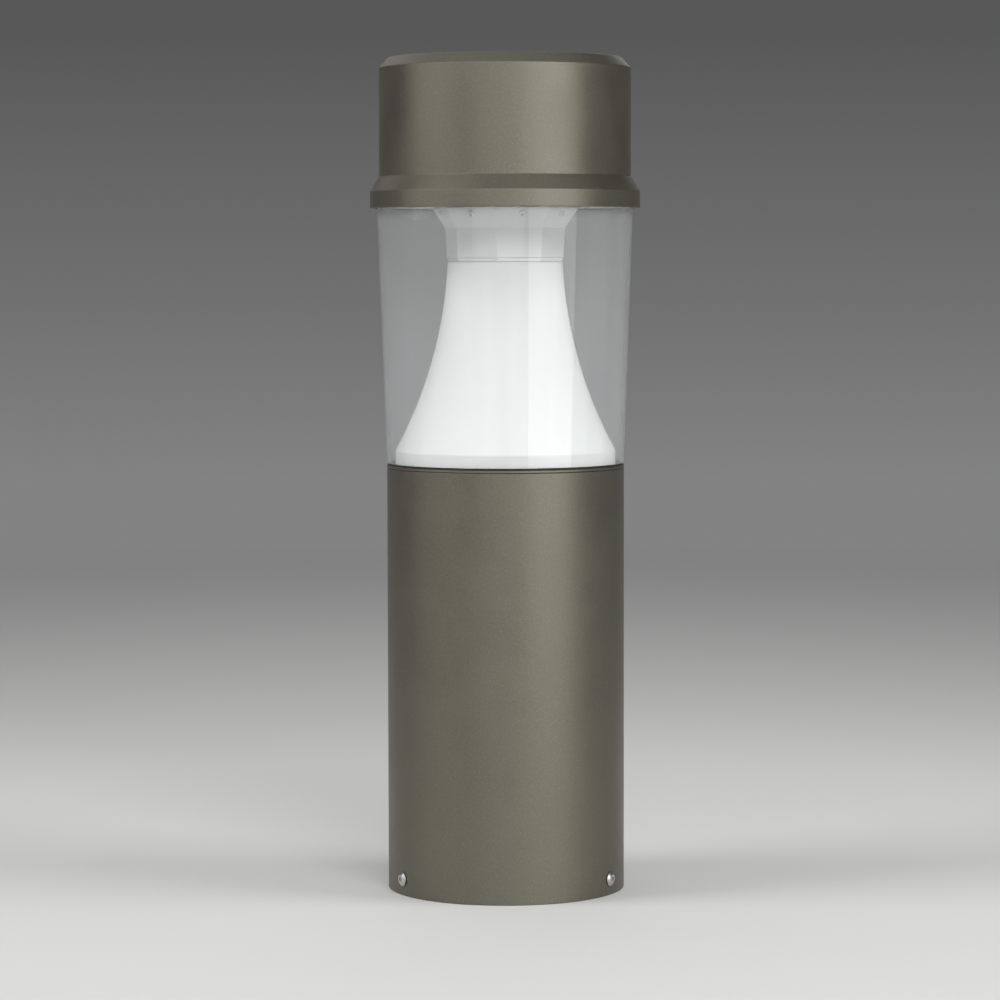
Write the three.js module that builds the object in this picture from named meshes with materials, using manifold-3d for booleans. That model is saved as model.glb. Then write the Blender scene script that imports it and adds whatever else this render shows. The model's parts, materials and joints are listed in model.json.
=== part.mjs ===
// Bollard light: an 8-inch round column, a white trumpet reflector under a clear
// tapered lens, and a flat-topped head that holds the LED driver.
// Millimetres, +Z up, origin on the ground at the column's axis, front towards -Y.
// A bearing is an angle about the axis, from the front (-Y) towards +X.

import * as THREE from "three";
import { mergeVertices } from "three/addons/utils/BufferGeometryUtils.js";
import Module from "manifold-3d";

const wasm = await Module();
wasm.setup();

// ---- driving dimensions -------------------------------------------------

const GAP = 0.3; // clearance between pieces that are bolted or set together
const ROUND = 60; // facets round a large turned piece
const MEDIUM = 16; // facets round a boss, a pocket or a nut's bore
const SMALL = 12; // facets round a rod, a screw or a hole

const OVERALL_HEIGHT = 711.2; // 28 in

// column, a plain tube with three screw blocks welded inside its top
const COLUMN_R = 101.6; // 8 in diameter
const COLUMN_WALL = 4;
const COLUMN_TOP = 362.3;
const BLOCK_RING_R = 86;
const BLOCK = { radius: 6, height: 30 };
const BLOCK_BORE_R = 2.6;
const BLOCK_BEARINGS = [0, 120, 240];

// cast anchor base inside the foot of the column
const BASE_PLATE_H = 12;
const BASE_HOLE_R = 46;
const BASE_RIB = { thickness: 4, height: 18 };
const LUG = { width: 36, height: 30, inner: 78 };
const LUG_BEARINGS = [60, 180, 300];
const ANCHOR_RING_R = 63.5; // 5 in bolt circle
const ANCHOR_SLOT = { width: 14, sweep: 26 };
const ANCHOR_BEARINGS = [0, 120, 240];
const BASE_SCREW_Z = 14;

// deck plate on the blocks, and the trim collar round the column's top edge
const DECK_T = 6;
const DECK_BOTTOM = COLUMN_TOP - DECK_T;
const COLLAR = { inner: 95, bottom: 362.5, top: 364.9, chamfer: 0.6 };
const BASE_GASKET = { inner: 96.2, outer: 101, bottom: 365, top: 366.3 };

// clear lens, a tube that widens upwards
const LENS_BOTTOM = 366.5;
const LENS_TOP = 592;
const LENS_BOTTOM_R = 101.9;
const LENS_TAPER = 0.035;
const LENS_WALL = 3;

// trumpet reflector: an upright skirt, then an arc that ends almost upright
const REFLECTOR_BOTTOM = COLUMN_TOP + GAP;
const REFLECTOR_TOP = 537.8;
const REFLECTOR_SKIRT_R = 94.2;
const REFLECTOR_ARC = { radius: 371.7, centreZ: 555.2, centreR: 420.4 };
const REFLECTOR_WALL = 2;
const REFLECTOR_STEPS = 7;
const REFLECTOR_EDGE_R = 1.5;

// octagonal housing between the reflector and the LED plate
const SIDES = 8;
const CORNER_BEARING = -8;
const CAN_PLATE = { bottom: 538.1, top: 541.2, corner: 49.6, chamfer: 1 };
const CAN_BOTTOM = 541.5;
const CAN_BEND = 566.5;
const CAN_TOP = 583.9;
const CAN_BOTTOM_R = 50.3;
const CAN_BEND_R = 51.6;
const CAN_TOP_R = 63.4;
const CAN_WALL = 1.5;
const CAN_SCREW_Z = 578.7;

// light engine
const PLATE_BOTTOM = 586.1;
const PLATE_T = 6;
const PLATE_TOP = PLATE_BOTTOM + PLATE_T;
const PLATE_R = 96.5;
const SPIGOT = { bottom: 572, innerCorner: 48 };
const BOARD = { inner: 66, outer: 96, bottom: 584.2, thickness: 1.6 };
const CHIPS = { count: 24, ring: 81, size: 5, height: 0.7 };

// three rods clamp the deck, reflector, housing and LED plate together
const ROD_R = 4;
const ROD_RING_R = 35;
const ROD_BEARINGS = [0, 120, 240];
const ROD_BOTTOM = 345;
const ROD_TOP = 602;
const NUT = { acrossFlats: 13, height: 6.5 };

// head
const HEAD_WALL_R = 107.5;
const HEAD_TOP_R = 99.5;
const HEAD_CHAMFER_Z = 702.5;
const FLARE_TOP = 610.7;
const FLARE_BOTTOM = 597.9;
const SKIRT_R = 115.3;
const SKIRT_BOTTOM = 583.4;
const SKIRT_WALL = 3.3;
const HEAD_WALL = 3.5;
const HEAD_ROOF_T = 4;
const LEDGE_Z = 594.3;
const CAP_GASKET = { inner: 105.8, outer: 110.8, bottom: 592.2, top: 594 };
const TRIM = { inner: 97.3, outer: 105.6, bottom: 584.2, sheet: 1.2, top: 604 };

// three captive screws hold the head down on hexagonal standoffs
const CAP_SCREW_RING_R = 80;
const CAP_SCREW_BEARINGS = [0, 120, 240];
const BOSS = { radius: 12, bottom: 699.5 };
const POCKET = { radius: 8.5, floor: 704.7 };
const SCREW_HOLE_R = 3.4;
const SEAL = { inner: 3.3, outer: 7, height: 1.2 };
const STANDOFF = { acrossFlats: 13, boreDepth: 14, boreR: 3.3 };

// gear on top of the LED plate
const DRIVER = { length: 100, width: 34, height: 28, y: 63, ear: 10, earT: 2.5, earW: 14 };
const TERMINALS = { length: 40, width: 16, height: 15, x: -30, y: -54, ways: 3 };
const LEAD_HOLE = { x: 75, y: 0, radius: 3.6 };
const CABLE_HOLE_R = 9;
const BUSHING = { neck: 8.2, flange: 12, flangeT: 2 };
const GROUND_SCREW = { x: -70, y: -8 };
const LEAD_R = { supply: 3.4, driver: 2.2, led: 2, ground: 1.6 };
const INLET = { radius: 12, flange: 14, flangeT: 3, bottom: 318, socketR: 9, socketDepth: 16 };

// ---- colours ------------------------------------------------------------

const paint = (color, roughness, metalness) =>
  new THREE.MeshStandardMaterial({ color, roughness, metalness, flatShading: true });

const BRONZE = paint(0x6f6b5f, 0.45, 0.5);
const WHITE = paint(0xeceeec, 0.5, 0);
const CLEAR = paint(0xdfe4e4, 0.05, 0);
const ALUMINIUM = paint(0xb4b6b8, 0.4, 0.9);
const STEEL = paint(0xc4c5c6, 0.3, 1);
const BLACK_RUBBER = paint(0x1b1b1b, 0.8, 0);
const BOARD_WHITE = paint(0xf2f2ee, 0.6, 0);
const GREY_CASE = paint(0xd5d6d4, 0.5, 0);
const BLACK_CABLE = paint(0x202022, 0.6, 0);
const RED_CABLE = paint(0x9b2a22, 0.6, 0);
const GREEN_CABLE = paint(0x2f7a3a, 0.6, 0);

// ---- geometry helpers ---------------------------------------------------

const radians = THREE.MathUtils.degToRad;

// The point at a bearing and a radius, as [x, y].
function around(bearing, radius) {
  return [radius * Math.sin(radians(bearing)), -radius * Math.cos(radians(bearing))];
}

// Positions only, shared vertices merged, faces that collapsed on the axis dropped.
function cleaned(geometry) {
  const bare = geometry.clone();
  bare.deleteAttribute("normal");
  bare.deleteAttribute("uv");
  const merged = mergeVertices(bare, 1e-4);
  const index = merged.index.array;
  const kept = [];
  for (let i = 0; i < index.length; i += 3) {
    const [a, b, c] = index.slice(i, i + 3);
    if (a !== b && b !== c && c !== a) kept.push(a, b, c);
  }
  merged.setIndex(kept);
  return merged;
}

function toSolid(geometry) {
  const clean = cleaned(geometry);
  const vertProperties = new Float32Array(clean.attributes.position.array);
  const triVerts = new Uint32Array(clean.index.array);
  return new wasm.Manifold(new wasm.Mesh({ numProp: 3, vertProperties, triVerts }));
}

function fromSolid(solid) {
  const mesh = solid.getMesh();
  const geometry = new THREE.BufferGeometry();
  geometry.setAttribute("position", new THREE.BufferAttribute(mesh.vertProperties, 3));
  geometry.setIndex(new THREE.BufferAttribute(mesh.triVerts, 1));
  return geometry;
}

const join = (first, ...rest) =>
  fromSolid(rest.reduce((sum, piece) => sum.add(toSolid(piece)), toSolid(first)));

const cut = (body, tools) =>
  fromSolid(tools.reduce((sum, tool) => sum.subtract(toSolid(tool)), toSolid(body)));

const overlapOf = (a, b) => fromSolid(toSolid(a).intersect(toSolid(b)));

// A profile of [radius, z] points turned about Z. It runs anticlockwise in the r-z plane.
function turned(profile, facets = ROUND, startBearing = 0) {
  const points = profile.map(([r, z]) => new THREE.Vector2(r, z));
  const closed = profile[0][0] > 0 || profile.at(-1)[0] > 0;
  if (closed) points.push(points[0].clone());
  const lathe = new THREE.LatheGeometry(points, facets, radians(startBearing));
  return cleaned(lathe.rotateX(Math.PI / 2));
}

// A ring of rectangular section.
const ring = (inner, outer, bottom, top, facets = ROUND) =>
  turned([[inner, bottom], [outer, bottom], [outer, top], [inner, top]], facets);

// A plain cylinder along Z, standing at [x, y].
const post = (radius, bottom, top, [x, y] = [0, 0], facets = SMALL) =>
  turned([[0, bottom], [radius, bottom], [radius, top], [0, top]], facets).translate(x, y, 0);

const box = (length, width, height, x, y, bottom) =>
  new THREE.BoxGeometry(length, width, height).translate(x, y, bottom + height / 2);

// A cylinder pointing outwards at a bearing, from one radius to another, at one height.
const radialPost = (radius, from, to, bearing, z) =>
  post(radius, from, to)
    .rotateX(Math.PI / 2)
    .rotateZ(radians(bearing))
    .translate(0, 0, z);

// A flat outline with round holes, each [x, y, radius], pulled up along Z.
function plate(outline, holes, bottom, thickness) {
  holes.forEach(([x, y, radius]) => {
    outline.holes.push(new THREE.Path().absarc(x, y, radius, 0, 2 * Math.PI, true));
  });
  const options = { depth: thickness, bevelEnabled: false, curveSegments: SMALL / 2 };
  return new THREE.ExtrudeGeometry(outline, options).translate(0, 0, bottom);
}

function polygon(corner, count, startBearing) {
  const points = Array.from({ length: count }, (_, i) => {
    const [x, y] = around(startBearing + (360 * i) / count, corner);
    return new THREE.Vector2(x, y);
  });
  return new THREE.Shape(points);
}

// A button-head screw, its seat at z = 0 and its shank below.
function screw(shankR, length, headR, headH) {
  return turned([
    [0, -length],
    [shankR, -length],
    [shankR, 0],
    [headR, 0],
    [headR * 0.7, headH],
    [0, headH],
  ], SMALL);
}

const hexPrism = (acrossFlats, bottom, top, [x, y]) =>
  turned([
    [0, bottom],
    [acrossFlats / Math.sqrt(3), bottom],
    [acrossFlats / Math.sqrt(3), top],
    [0, top],
  ], 6).translate(x, y, 0);

// A round lead through hand-placed points.
function lead(radius, points) {
  const path = new THREE.CatmullRomCurve3(points.map((p) => new THREE.Vector3(...p)));
  const section = new THREE.Shape(
    Array.from({ length: 8 }, (_, i) => {
      const angle = (2 * Math.PI * i) / 8;
      return new THREE.Vector2(radius * Math.cos(angle), radius * Math.sin(angle));
    }),
  );
  const steps = Math.max(8, Math.round(path.getLength() / (5 * radius)));
  return new THREE.ExtrudeGeometry(section, { steps, extrudePath: path });
}

const bollard = new THREE.Group();

function add(name, geometry, material) {
  const mesh = new THREE.Mesh(geometry, material);
  mesh.name = name;
  bollard.add(mesh);
  return mesh;
}

// ---- column -------------------------------------------------------------

function columnTube() {
  const wall = ring(COLUMN_R - COLUMN_WALL, COLUMN_R, 0, COLUMN_TOP);
  const top = DECK_BOTTOM - GAP;
  const bottom = top - BLOCK.height;
  const webReach = COLUMN_R - COLUMN_WALL / 2 - BLOCK_RING_R;
  const blocks = BLOCK_BEARINGS.flatMap((bearing) => [
    post(BLOCK.radius, bottom, top, around(bearing, BLOCK_RING_R)),
    box(2 * BLOCK.radius, webReach, BLOCK.height, 0, -(BLOCK_RING_R + webReach / 2), bottom)
      .rotateZ(radians(bearing)),
  ]);
  const bores = BLOCK_BEARINGS.map((bearing) =>
    post(BLOCK_BORE_R, bottom - 1, top + 1, around(bearing, BLOCK_RING_R)));
  const screwHoles = LUG_BEARINGS.map((bearing) =>
    radialPost(SCREW_HOLE_R, COLUMN_R - COLUMN_WALL - 2, COLUMN_R + 2, bearing, BASE_SCREW_Z));
  return cut(join(wall, ...blocks), [...bores, ...screwHoles]);
}

function anchorSlot(bearing) {
  const half = radians(ANCHOR_SLOT.sweep / 2);
  const radius = ANCHOR_SLOT.width / 2;
  const middle = radians(bearing) - Math.PI / 2;
  const [from, to] = [middle - half, middle + half];
  const end = (angle) => [ANCHOR_RING_R * Math.cos(angle), ANCHOR_RING_R * Math.sin(angle)];
  const slot = new THREE.Shape();
  slot.absarc(0, 0, ANCHOR_RING_R + radius, from, to, false);
  slot.absarc(...end(to), radius, to, to + Math.PI, false);
  slot.absarc(0, 0, ANCHOR_RING_R - radius, to, from, true);
  slot.absarc(...end(from), radius, from + Math.PI, from + 2 * Math.PI, false);
  const options = { depth: BASE_PLATE_H + 2, bevelEnabled: false, curveSegments: 4 };
  return new THREE.ExtrudeGeometry(slot, options).translate(0, 0, -1);
}

function anchorBase() {
  const boreR = COLUMN_R - COLUMN_WALL - GAP;
  const disc = ring(BASE_HOLE_R, boreR, 0, BASE_PLATE_H);
  const rib = ring(BASE_HOLE_R, BASE_HOLE_R + BASE_RIB.thickness, 0, BASE_RIB.height);
  const lugs = LUG_BEARINGS.map((bearing) => {
    const depth = boreR + 5 - LUG.inner;
    const block = box(LUG.width, depth, LUG.height, 0, -(LUG.inner + depth / 2), 0)
      .rotateZ(radians(bearing));
    return overlapOf(block, post(boreR, -1, LUG.height + 1, [0, 0], ROUND));
  });
  const slots = ANCHOR_BEARINGS.map(anchorSlot);
  const screwHoles = LUG_BEARINGS.map((bearing) =>
    radialPost(SCREW_HOLE_R, COLUMN_R - 24, COLUMN_R, bearing, BASE_SCREW_Z));
  return cut(join(disc, rib, ...lugs), [...slots, ...screwHoles]);
}

function deckPlate() {
  const outline = polygon(COLUMN_R - COLUMN_WALL - GAP, ROUND, 0);
  const holes = [
    [0, 0, CABLE_HOLE_R],
    ...ROD_BEARINGS.map((bearing) => [...around(bearing, ROD_RING_R), ROD_R + GAP]),
    ...BLOCK_BEARINGS.map((bearing) => [...around(bearing, BLOCK_RING_R), BLOCK_BORE_R + GAP]),
  ];
  return plate(outline, holes, DECK_BOTTOM, DECK_T);
}

function collarRing() {
  const { inner, bottom, top, chamfer } = COLLAR;
  return turned([
    [inner, bottom],
    [COLUMN_R, bottom],
    [COLUMN_R, top - chamfer],
    [COLUMN_R - chamfer, top],
    [inner, top],
  ]);
}

add("column_tube", columnTube(), BRONZE);
add("anchor_base", anchorBase(), ALUMINIUM);
add("deck_plate", deckPlate(), ALUMINIUM);
add("collar_ring", collarRing(), BRONZE);
add("lens_base_gasket",
  ring(BASE_GASKET.inner, BASE_GASKET.outer, BASE_GASKET.bottom, BASE_GASKET.top), BLACK_RUBBER);

LUG_BEARINGS.forEach((bearing, i) => {
  const turn = new THREE.Group();
  const piece = add(`base_screw_${i + 1}`, screw(3, 18, 6, 2.4), STEEL);
  piece.rotation.x = Math.PI / 2;
  piece.position.set(0, -(COLUMN_R + GAP), BASE_SCREW_Z);
  turn.rotation.z = radians(bearing);
  turn.add(piece);
  bollard.add(turn);
});

BLOCK_BEARINGS.forEach((bearing, i) => {
  const [x, y] = around(bearing, BLOCK_RING_R);
  add(`deck_screw_${i + 1}`, screw(2.3, 20, 4.5, 2.6), STEEL).position.set(x, y, COLUMN_TOP + GAP);
});

// ---- reflector and housing ----------------------------------------------

// The radius of the reflector's outside at height z.
function reflectorRadius(z) {
  const { radius, centreZ, centreR } = REFLECTOR_ARC;
  return Math.min(REFLECTOR_SKIRT_R, centreR - Math.sqrt(radius ** 2 - (centreZ - z) ** 2));
}

// The height at which the arc meets the upright skirt.
function skirtHeight() {
  const { radius, centreZ, centreR } = REFLECTOR_ARC;
  return centreZ - Math.sqrt(radius ** 2 - (centreR - REFLECTOR_SKIRT_R) ** 2);
}

function reflector() {
  const arcBottom = skirtHeight();
  const arcTop = REFLECTOR_TOP - REFLECTOR_EDGE_R;
  const rise = (arcTop - arcBottom) / REFLECTOR_STEPS;
  const outside = Array.from({ length: REFLECTOR_STEPS + 1 }, (_, i) => {
    const z = arcBottom + rise * i;
    return [reflectorRadius(z), z];
  });
  const inside = outside.map(([r, z]) => [r - REFLECTOR_WALL, z - REFLECTOR_WALL]).reverse();
  const topR = reflectorRadius(arcTop);
  const shell = turned([
    [REFLECTOR_SKIRT_R - REFLECTOR_WALL, REFLECTOR_BOTTOM],
    [REFLECTOR_SKIRT_R, REFLECTOR_BOTTOM],
    ...outside,
    [topR - REFLECTOR_EDGE_R, REFLECTOR_TOP],
    [CABLE_HOLE_R, REFLECTOR_TOP],
    [CABLE_HOLE_R, REFLECTOR_TOP - REFLECTOR_WALL],
    [topR - REFLECTOR_WALL, REFLECTOR_TOP - REFLECTOR_WALL],
    ...inside,
  ]);
  const rodHoles = ROD_BEARINGS.map((bearing) =>
    post(ROD_R + GAP, REFLECTOR_TOP - 6, REFLECTOR_TOP + 2, around(bearing, ROD_RING_R)));
  return cut(shell, rodHoles);
}

function canPlate() {
  const { bottom, top, corner, chamfer } = CAN_PLATE;
  const slab = turned([
    [0, bottom],
    [corner - chamfer, bottom],
    [corner, bottom + chamfer],
    [corner, top],
    [0, top],
  ], SIDES, CORNER_BEARING);
  const rodHoles = ROD_BEARINGS.map((bearing) =>
    post(ROD_R + GAP, bottom - 1, top + 1, around(bearing, ROD_RING_R)));
  return cut(slab, [post(CABLE_HOLE_R, bottom - 1, top + 1), ...rodHoles]);
}

// The corner radius of the housing's flare at height z.
const flareCorner = (z) =>
  CAN_BEND_R + ((CAN_TOP_R - CAN_BEND_R) * (z - CAN_BEND)) / (CAN_TOP - CAN_BEND);

const FLARE_TILT = Math.atan(
  ((CAN_TOP_R - CAN_BEND_R) * Math.cos(Math.PI / SIDES)) / (CAN_TOP - CAN_BEND));
const FACET_BEARINGS = Array.from({ length: SIDES }, (_, i) =>
  CORNER_BEARING + (360 / SIDES) * (i + 0.5));

// Sets a shape that points along +Z square on the flare's facet, "out" beyond its face.
function onFacet(geometry, bearing, out = 0) {
  const apothem = flareCorner(CAN_SCREW_Z) * Math.cos(Math.PI / SIDES);
  return geometry
    .translate(0, 0, out)
    .rotateX(Math.PI / 2 + FLARE_TILT)
    .translate(0, -apothem, CAN_SCREW_Z)
    .rotateZ(radians(bearing));
}

const facetHoles = (radius) =>
  FACET_BEARINGS.map((bearing) => onFacet(post(radius, -14, 3), bearing));

function canHousing() {
  const cornerWall = CAN_WALL / Math.cos(Math.PI / SIDES);
  const shell = turned([
    [CAN_BOTTOM_R - cornerWall, CAN_BOTTOM],
    [CAN_BOTTOM_R, CAN_BOTTOM],
    [CAN_BEND_R, CAN_BEND],
    [CAN_TOP_R, CAN_TOP],
    [CAN_TOP_R - cornerWall * 1.2, CAN_TOP],
    [CAN_BEND_R - cornerWall, CAN_BEND + 0.5],
  ], SIDES, CORNER_BEARING);
  return cut(shell, facetHoles(2.1));
}

add("reflector", reflector(), WHITE);
add("can_plate", canPlate(), WHITE);
add("can_housing", canHousing(), WHITE);
FACET_BEARINGS.forEach((bearing, i) => {
  add(`can_screw_${i + 1}`, onFacet(screw(1.8, 8, 3.2, 1.8), bearing, GAP), WHITE);
});

// ---- tie rods -----------------------------------------------------------

const nut = (bottom, place) =>
  cut(hexPrism(NUT.acrossFlats, bottom, bottom + NUT.height, place),
    [post(ROD_R + 0.2, bottom - 1, bottom + NUT.height + 1, place, SMALL)]);

ROD_BEARINGS.forEach((bearing, i) => {
  const place = around(bearing, ROD_RING_R);
  add(`tie_rod_${i + 1}`, post(ROD_R, ROD_BOTTOM, ROD_TOP, place), STEEL);
  add(`rod_nut_lower_${i + 1}`, nut(DECK_BOTTOM - GAP - NUT.height, place), STEEL);
  add(`rod_nut_upper_${i + 1}`, nut(PLATE_TOP + GAP, place), STEEL);
});

// ---- light engine -------------------------------------------------------

function ledPlate() {
  const holes = [
    [0, 0, CABLE_HOLE_R],
    [LEAD_HOLE.x, LEAD_HOLE.y, LEAD_HOLE.radius],
    ...ROD_BEARINGS.map((bearing) => [...around(bearing, ROD_RING_R), ROD_R + GAP]),
  ];
  const disc = plate(polygon(PLATE_R, ROUND, 0), holes, PLATE_BOTTOM, PLATE_T);
  const wallGap = (CAN_WALL + GAP) / Math.cos(Math.PI / SIDES) / Math.cos(FLARE_TILT);
  const top = PLATE_BOTTOM + 1;
  const spigot = turned([
    [SPIGOT.innerCorner, SPIGOT.bottom],
    [flareCorner(SPIGOT.bottom) - wallGap, SPIGOT.bottom],
    [flareCorner(top) - wallGap, top],
    [SPIGOT.innerCorner, top],
  ], SIDES, CORNER_BEARING);
  return cut(join(disc, spigot), facetHoles(2.1));
}

function ledBoard() {
  const { inner, outer, bottom, thickness } = BOARD;
  const board = ring(inner, outer, bottom, bottom + thickness);
  const { count, ring: ringR, size, height } = CHIPS;
  const chips = Array.from({ length: count }, (_, i) =>
    new THREE.BoxGeometry(size, size, height + 0.2)
      .translate(0, -ringR, bottom + 0.2 - (height + 0.2) / 2)
      .rotateZ((2 * Math.PI * (i + 0.5)) / count));
  return join(board, ...chips);
}

function standoff(place) {
  const top = BOSS.bottom - GAP;
  return cut(hexPrism(STANDOFF.acrossFlats, PLATE_TOP + GAP, top, place),
    [post(STANDOFF.boreR, top - STANDOFF.boreDepth, top + 1, place)]);
}

add("led_plate", ledPlate(), ALUMINIUM);
add("led_board", ledBoard(), BOARD_WHITE);
CAP_SCREW_BEARINGS.forEach((bearing, i) => {
  add(`standoff_${i + 1}`, standoff(around(bearing, CAP_SCREW_RING_R)), STEEL);
});

// ---- driver, terminals and wiring ---------------------------------------

function driver() {
  const { length, width, height, y, ear, earT, earW } = DRIVER;
  const bottom = PLATE_TOP + GAP;
  const body = box(length, width, height, 0, y, bottom);
  const ears = box(length + 2 * ear, earW, earT, 0, y, bottom);
  const holes = [-1, 1].map((side) =>
    post(2.3, bottom - 1, bottom + earT + 1, [side * (length + ear) / 2, y]));
  return cut(join(body, ears), holes);
}

function terminalBlock() {
  const { length, width, height, x, y, ways } = TERMINALS;
  const bottom = PLATE_TOP + GAP;
  const pitch = length / ways;
  const mouths = Array.from({ length: ways }, (_, i) =>
    box(pitch * 0.6, 5, 5, x + pitch * (i - (ways - 1) / 2), y - width / 2, bottom + 5));
  return cut(box(length, width, height, x, y, bottom), mouths);
}

function plateBushing() {
  const bore = LEAD_R.supply + GAP;
  const seat = PLATE_TOP + GAP;
  return turned([
    [bore, PLATE_BOTTOM],
    [BUSHING.neck, PLATE_BOTTOM],
    [BUSHING.neck, seat],
    [BUSHING.flange, seat],
    [BUSHING.flange, seat + BUSHING.flangeT],
    [bore, seat + BUSHING.flangeT],
  ], MEDIUM);
}

// A round socket under the deck plate, open downwards, its neck up through the cable hole.
function supplyInlet() {
  const { radius, flange, flangeT, bottom, socketR, socketDepth } = INLET;
  const flangeTop = DECK_BOTTOM - GAP;
  return turned([
    [0, bottom + socketDepth],
    [socketR, bottom + socketDepth],
    [socketR, bottom],
    [radius, bottom],
    [radius, flangeTop - flangeT],
    [flange, flangeTop - flangeT],
    [flange, flangeTop],
    [BUSHING.neck, flangeTop],
    [BUSHING.neck, COLUMN_TOP],
    [0, COLUMN_TOP],
  ], MEDIUM);
}

const PLATE_SEAT = PLATE_TOP + GAP;
const TERMINAL_FACE_Y = TERMINALS.y + TERMINALS.width / 2 + GAP;
const DRIVER_END_X = DRIVER.length / 2 + GAP;

add("driver", driver(), GREY_CASE);
[-1, 1].forEach((side, i) => {
  const x = (side * (DRIVER.length + DRIVER.ear)) / 2;
  const seat = PLATE_SEAT + DRIVER.earT + GAP;
  add(`driver_screw_${i + 1}`, screw(2, DRIVER.earT, 3.8, 2.4), STEEL).position.set(x, DRIVER.y, seat);
});
add("terminal_block", terminalBlock(), GREY_CASE);
add("plate_bushing", plateBushing(), BLACK_RUBBER);
add("supply_inlet", supplyInlet(), BLACK_RUBBER);

add("supply_lead", lead(LEAD_R.supply, [
  [-20, TERMINAL_FACE_Y, 602],
  [-20, TERMINAL_FACE_Y + 5, 602],
  [-18, -34, 605],
  [-11, -18, 612],
  [-3, -5, 613],
  [0, 0, 606],
  [0, 0, 598],
  [0, 0, 584],
  [0, 0, 480],
  [0, 0, 390],
  [0, 0, COLUMN_TOP + GAP],
]), BLACK_CABLE);
add("driver_lead", lead(LEAD_R.driver, [
  [-DRIVER_END_X, DRIVER.y - 10, 612],
  [-DRIVER_END_X - 4, DRIVER.y - 10, 612],
  [-58, 42, 610],
  [-56, 20, 606],
  [-50, -10, 604],
  [-42, -32, 603],
  [-40, TERMINAL_FACE_Y + 5, 602],
  [-40, TERMINAL_FACE_Y, 602],
]), BLACK_CABLE);
add("led_lead", lead(LEAD_R.led, [
  [DRIVER_END_X, DRIVER.y - 10, 612],
  [DRIVER_END_X + 4, DRIVER.y - 10, 612],
  [58, 42, 611],
  [57, 24, 607],
  [64, 8, 606],
  [73, 1, 601],
  [LEAD_HOLE.x, LEAD_HOLE.y, 594],
  [LEAD_HOLE.x, LEAD_HOLE.y, BOARD.bottom + BOARD.thickness + GAP],
]), RED_CABLE);
add("ground_lead", lead(LEAD_R.ground, [
  [-47, TERMINAL_FACE_Y, 600],
  [-47, TERMINAL_FACE_Y + 4, 600],
  [-51, -36, 600],
  [-60, -26, 598],
  [GROUND_SCREW.x + 3, GROUND_SCREW.y - 9, 596],
  [GROUND_SCREW.x + 1, GROUND_SCREW.y - 5.2, 595.5],
]), GREEN_CABLE);
add("ground_screw",
  turned([[0, 0], [4.5, 0], [4.5, 2.2], [3, 3.2], [0, 3.2]], SMALL), STEEL)
  .position.set(GROUND_SCREW.x, GROUND_SCREW.y, PLATE_SEAT);

// ---- lens ---------------------------------------------------------------

const lensRadius = (z) => LENS_BOTTOM_R + LENS_TAPER * (z - LENS_BOTTOM);

add("lens", turned([
  [lensRadius(LENS_BOTTOM) - LENS_WALL, LENS_BOTTOM],
  [lensRadius(LENS_BOTTOM), LENS_BOTTOM],
  [lensRadius(LENS_TOP), LENS_TOP],
  [lensRadius(LENS_TOP) - LENS_WALL, LENS_TOP],
]), CLEAR);

// ---- head ---------------------------------------------------------------

function headCap() {
  const roof = OVERALL_HEIGHT - HEAD_ROOF_T;
  const innerR = HEAD_WALL_R - HEAD_WALL;
  const shell = turned([
    [0, roof],
    [HEAD_TOP_R - 1.7, roof],
    [innerR, HEAD_CHAMFER_Z - 2],
    [innerR, LEDGE_Z],
    [SKIRT_R - SKIRT_WALL, LEDGE_Z],
    [SKIRT_R - SKIRT_WALL, SKIRT_BOTTOM],
    [SKIRT_R, SKIRT_BOTTOM],
    [SKIRT_R, FLARE_BOTTOM],
    [HEAD_WALL_R, FLARE_TOP],
    [HEAD_WALL_R, HEAD_CHAMFER_Z],
    [HEAD_TOP_R, OVERALL_HEIGHT],
    [0, OVERALL_HEIGHT],
  ]);
  const places = CAP_SCREW_BEARINGS.map((bearing) => around(bearing, CAP_SCREW_RING_R));
  const bosses = places.map((place) => post(BOSS.radius, BOSS.bottom, roof + 1, place, MEDIUM));
  const pockets = places.map((place) =>
    post(POCKET.radius, POCKET.floor, OVERALL_HEIGHT + 1, place, MEDIUM));
  const holes = places.map((place) =>
    post(SCREW_HOLE_R, BOSS.bottom - 1, POCKET.floor + 1, place));
  return cut(join(shell, ...bosses), [...pockets, ...holes]);
}

function trimRing() {
  const { inner, outer, bottom, sheet, top } = TRIM;
  const wallR = HEAD_WALL_R - HEAD_WALL - 2 * GAP;
  return turned([
    [inner, bottom],
    [outer, bottom],
    [outer, bottom + sheet],
    [wallR, bottom + sheet],
    [wallR, top],
    [wallR - sheet, top],
    [wallR - sheet, bottom + sheet],
    [inner, bottom + sheet],
  ]);
}

add("head_cap", headCap(), BRONZE);
add("trim_ring", trimRing(), WHITE);
add("cap_gasket",
  ring(CAP_GASKET.inner, CAP_GASKET.outer, CAP_GASKET.bottom, CAP_GASKET.top), BLACK_RUBBER);

CAP_SCREW_BEARINGS.forEach((bearing, i) => {
  const place = around(bearing, CAP_SCREW_RING_R);
  const sealTop = POCKET.floor + 0.1 + SEAL.height;
  add(`cap_screw_seal_${i + 1}`,
    ring(SEAL.inner, SEAL.outer, POCKET.floor + 0.1, sealTop, MEDIUM).translate(...place, 0),
    BLACK_RUBBER);
  add(`cap_screw_${i + 1}`, screw(3, 16, 6, 3.3), STEEL)
    .position.set(...place, sealTop + 0.1);
});

export default bollard;
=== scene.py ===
import json
import math

import bmesh
import bpy
from mathutils import Matrix, Vector

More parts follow.
